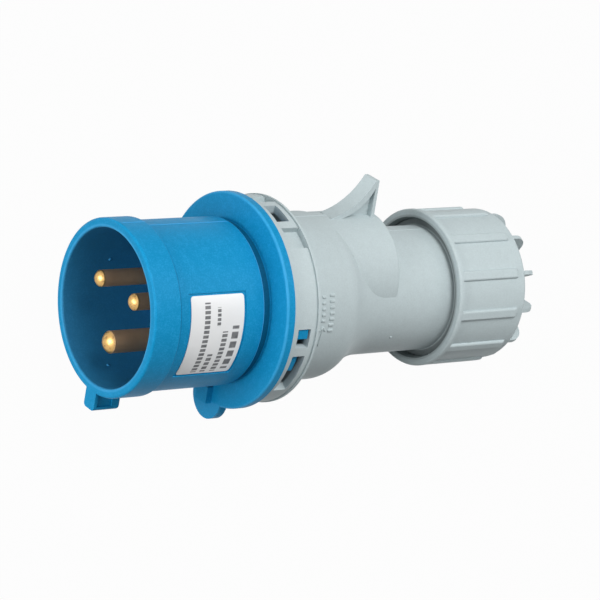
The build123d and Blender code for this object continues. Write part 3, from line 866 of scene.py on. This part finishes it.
class PLUG_OT_build_studio(Operator):
    """Build the floor, the lamps, the white backdrop and the camera"""

    bl_idname = "plug.build_studio"
    bl_label = "Build studio"

    # Half the floor's side, and the station that the lamps face
    floor_half = 2.5
    lamp_aim = 0.08
    # White, and the strength at which it shows as plain white
    white = (1.0, 1.0, 1.0, 1.0)
    white_strength = 1.0
    # Each lamp: the setting of its power, its side in the plug's frame, its distance and its size
    lamps = {
        "key_lamp": ("key", (-0.04, 0.44, 0.88), 1.3, 0.7),
        "fill_lamp": ("fill", (-0.97, 0.05, 0.15), 1.3, 0.7),
        "sheen_lamp": ("sheen", (0.62, 0.25, 0.74), 1.2, 0.4),
    }

    def execute(self, context):
        scene = context.scene
        studio = scene.plug_studio
        self.build_floor(scene, studio)
        self.build_world(scene, studio)
        for name, (power, side, distance, size) in self.lamps.items():
            self.build_lamp(scene, name, getattr(studio, power), side, distance, size)
        self.build_camera(scene)
        return {"FINISHED"}

    def build_floor(self, scene, studio):
        """Pale floor that the camera sees nearly white, with the plug's shadow on it."""
        material = bpy.data.materials.new("floor")
        material.use_nodes = True
        graph = Graph(material.node_tree)
        matt = graph.get("ShaderNodeBsdfDiffuse", inputs={"Color": (*studio.floor, 1.0)})
        glow = graph.get("ShaderNodeEmission", inputs={"Strength": self.white_strength})
        seen = graph.seen() * studio.floor_white
        joined = graph.get("ShaderNodeMixShader", inputs={0: seen, 1: matt, 2: glow})
        graph.get("ShaderNodeOutputMaterial", inputs={"Surface": joined})
        half = self.floor_half
        corners = [(-half, -half, 0.0), (half, -half, 0.0), (half, half, 0.0), (-half, half, 0.0)]
        bm = bmesh.new()
        bm.faces.new([bm.verts.new(corner) for corner in corners])
        mesh = bpy.data.meshes.new("floor")
        bm.to_mesh(mesh)
        bm.free()
        mesh.materials.append(material)
        floor = bpy.data.objects.new("floor", mesh)
        scene.collection.objects.link(floor)

    def build_world(self, scene, studio):
        """Even light from all round, seen as plain white by the camera."""
        scene.world = bpy.data.worlds.new("studio")
        scene.world.use_nodes = True
        graph = Graph(scene.world.node_tree)
        ambient, backdrop = [
            graph.get("ShaderNodeBackground", inputs={"Color": self.white, "Strength": strength})
            for strength in (studio.sky, self.white_strength)
        ]
        shaders = {0: graph.seen(), 1: ambient, 2: backdrop}
        joined = graph.get("ShaderNodeMixShader", inputs=shaders)
        graph.get("ShaderNodeOutputWorld", inputs={"Surface": joined})

    def build_lamp(self, scene, name, power, side, distance, size):
        """Square lamp that faces the plug from a side given in the plug's frame."""
        direction = from_plug(side).normalized()
        data = bpy.data.lights.new(name, "AREA")
        data.shape = "SQUARE"
        data.size = size
        data.energy = power
        lamp = bpy.data.objects.new(name, data)
        lamp.location = place(self.lamp_aim, 0.0, 0.0) + direction * distance
        lamp.rotation_mode = "QUATERNION"
        lamp.rotation_quaternion = (-direction).to_track_quat("-Z", "Y")
        scene.collection.objects.link(lamp)

    def build_camera(self, scene):
        """Camera at the photograph's viewing angle."""
        data = bpy.data.cameras.new("camera")
        data.lens = CAMERA_LENS
        data.sensor_width = CAMERA_SENSOR
        camera = bpy.data.objects.new("camera", data)
        back = -from_plug(CAMERA_FORWARD).normalized()
        right = from_plug(CAMERA_UP).cross(back).normalized()
        turn = Matrix((right, back.cross(right), back)).transposed().to_4x4()
        camera.matrix_world = Matrix.Translation(MOUTH + from_plug(CAMERA_PLACE)) @ turn
        scene.collection.objects.link(camera)
        scene.camera = camera
        scene.view_settings.view_transform = "Standard"


class PLUG_PT_panel(Panel):
    """Lists the steps that dress the plug, and their sizes and colours"""

    bl_idname = "PLUG_PT_panel"
    bl_label = "Industrial plug"
    bl_space_type = "VIEW_3D"
    bl_region_type = "UI"
    bl_category = "Plug"

    def draw(self, context):
        for operator in OPERATORS:
            self.layout.operator(operator.bl_idname)
        for group in GROUPS:
            settings = getattr(context.scene, group)
            for name in settings.__annotations__:
                self.layout.prop(settings, name)


GROUPS = {"plug_look": PlugLook, "plug_marks": PlugMarks, "plug_studio": PlugStudio}
OPERATORS = [
    PLUG_OT_finish_shroud,
    PLUG_OT_finish_housing,
    PLUG_OT_finish_gland,
    PLUG_OT_finish_contacts,
    PLUG_OT_finish_label,
    PLUG_OT_add_seams,
    PLUG_OT_add_thread,
    PLUG_OT_add_opening_sign,
    PLUG_OT_add_pips,
    PLUG_OT_build_studio,
]
CLASSES = [*GROUPS.values(), *OPERATORS, PLUG_PT_panel]


def register():
    for kind in CLASSES:
        bpy.utils.register_class(kind)
    for name, group in GROUPS.items():
        setattr(bpy.types.Scene, name, PointerProperty(type=group))


def unregister():
    for name in GROUPS:
        delattr(bpy.types.Scene, name)
    for kind in reversed(CLASSES):
        bpy.utils.unregister_class(kind)


def main():
    register()
    for operator in OPERATORS:
        group, name = operator.bl_idname.split(".")
        getattr(getattr(bpy.ops, group), name)()
    bpy.context.view_layer.update()


if __name__ == "__main__":
    main()
